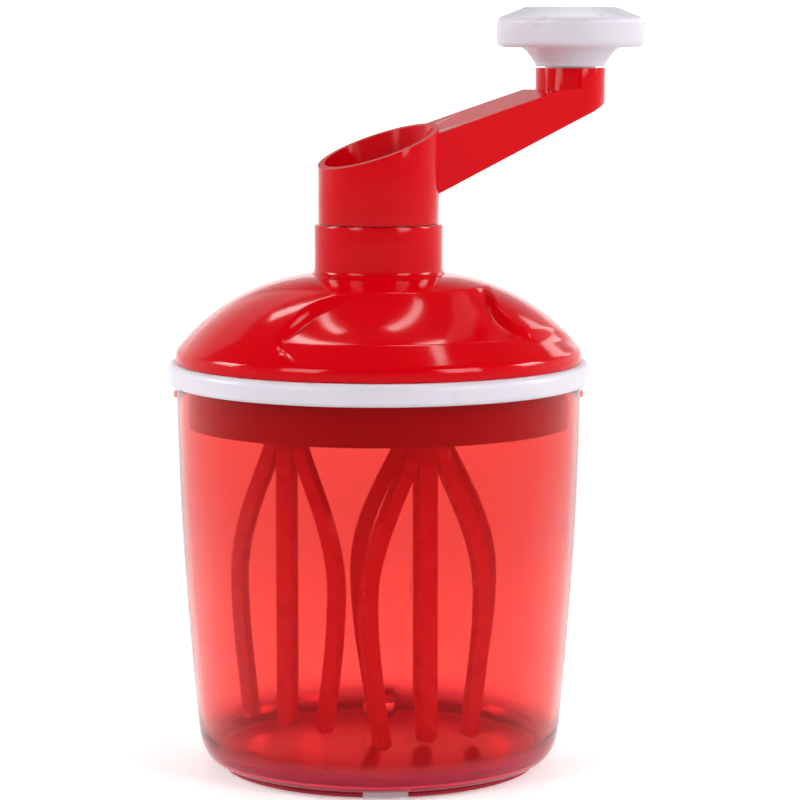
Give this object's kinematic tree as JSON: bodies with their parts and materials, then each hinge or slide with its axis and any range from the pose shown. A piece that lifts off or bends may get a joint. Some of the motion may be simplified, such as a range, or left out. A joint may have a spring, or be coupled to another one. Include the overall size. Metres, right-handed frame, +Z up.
{
  "type": "hand-cranked whisking bowl",
  "caption": "Clear tinted bowl with a domed lid; a hollow hand crank drives planet whisks inside it.",
  "frame": {"origin": "on the crank axis, at the underside of the base pad", "axes": "+Z up along the crank axis, +X to the right of the front view, +Y to the back; at rest the crank arm points to the back right, 29.5 degrees from +X"},
  "size_m": [0.1649, 0.144, 0.2583],
  "materials": {
    "clear_red_plastic": "clear tinted moulded plastic, high gloss",
    "soft_red_rubber": "soft moulded rubber, satin",
    "white_plastic": "moulded plastic, soft gloss, faintly lilac white",
    "red_plastic": "opaque moulded plastic, high gloss",
    "dark_red_plastic": "opaque moulded plastic, satin gloss",
    "gear_plastic": "natural acetal, low friction, satin",
    "steel": "plain stainless steel",
    "black_rubber": "nitrile rubber"
  },
  "bodies": {
    "bowl": {"bowl": "clear_red_plastic", "base_pad": "soft_red_rubber"},
    "lid": {"lid": "red_plastic", "seal_ring": "white_plastic", "ring_gear": "gear_plastic", "ring_gear_screws": "steel", "neck_bush": "gear_plastic"},
    "crank": {"crank": "red_plastic", "carrier": "gear_plastic", "carrier_cover": "red_plastic", "carrier_screws": "steel", "planet_washers": "gear_plastic", "retaining_ring": "steel", "drive_pins": "steel", "thrust_washer": "steel", "knob_pin": "steel", "knob_washer": "steel"},
    "knob": {"knob": "white_plastic", "knob_cap": "white_plastic"},
    "whisk_1": {"whisk_1": "dark_red_plastic", "planet_gear_1": "gear_plastic", "whisk_o_ring_1": "black_rubber"},
    "whisk_2": {"whisk_2": "dark_red_plastic", "planet_gear_2": "gear_plastic", "whisk_o_ring_2": "black_rubber"},
    "whisk_3": {"whisk_3": "dark_red_plastic", "planet_gear_3": "gear_plastic", "whisk_o_ring_3": "black_rubber"}
  },
  "joints": [
    {"name": "lid_lift", "type": "slide", "parent": "bowl", "child": "lid", "axis": [0, 0, 1], "range_m": [0, 0.14]},
    {"name": "crank_turn", "type": "hinge", "parent": "lid", "child": "crank", "pos_m": [0, 0, 0.166], "axis": [0, 0, 1], "continuous": true},
    {"name": "knob_spin", "type": "hinge", "parent": "crank", "child": "knob", "pos_m": [0.06702, 0.03792, 0.246], "axis": [0, 0, 1], "continuous": true},
    {"name": "whisk_1_spin", "type": "hinge", "parent": "crank", "child": "whisk_1", "pos_m": [-0.0315, 0, 0.124], "axis": [0, 0, 1], "continuous": true},
    {"name": "whisk_2_spin", "type": "hinge", "parent": "crank", "child": "whisk_2", "pos_m": [0.01575, -0.02728, 0.124], "axis": [0, 0, 1], "continuous": true},
    {"name": "whisk_3_spin", "type": "hinge", "parent": "crank", "child": "whisk_3", "pos_m": [0.01575, 0.02728, 0.124], "axis": [0, 0, 1], "continuous": true}
  ],
  "couplings": [
    {"joint": "whisk_1_spin", "follows": "crank_turn", "ratio": -3},
    {"joint": "whisk_2_spin", "follows": "crank_turn", "ratio": -3},
    {"joint": "whisk_3_spin", "follows": "crank_turn", "ratio": -3}
  ]
}
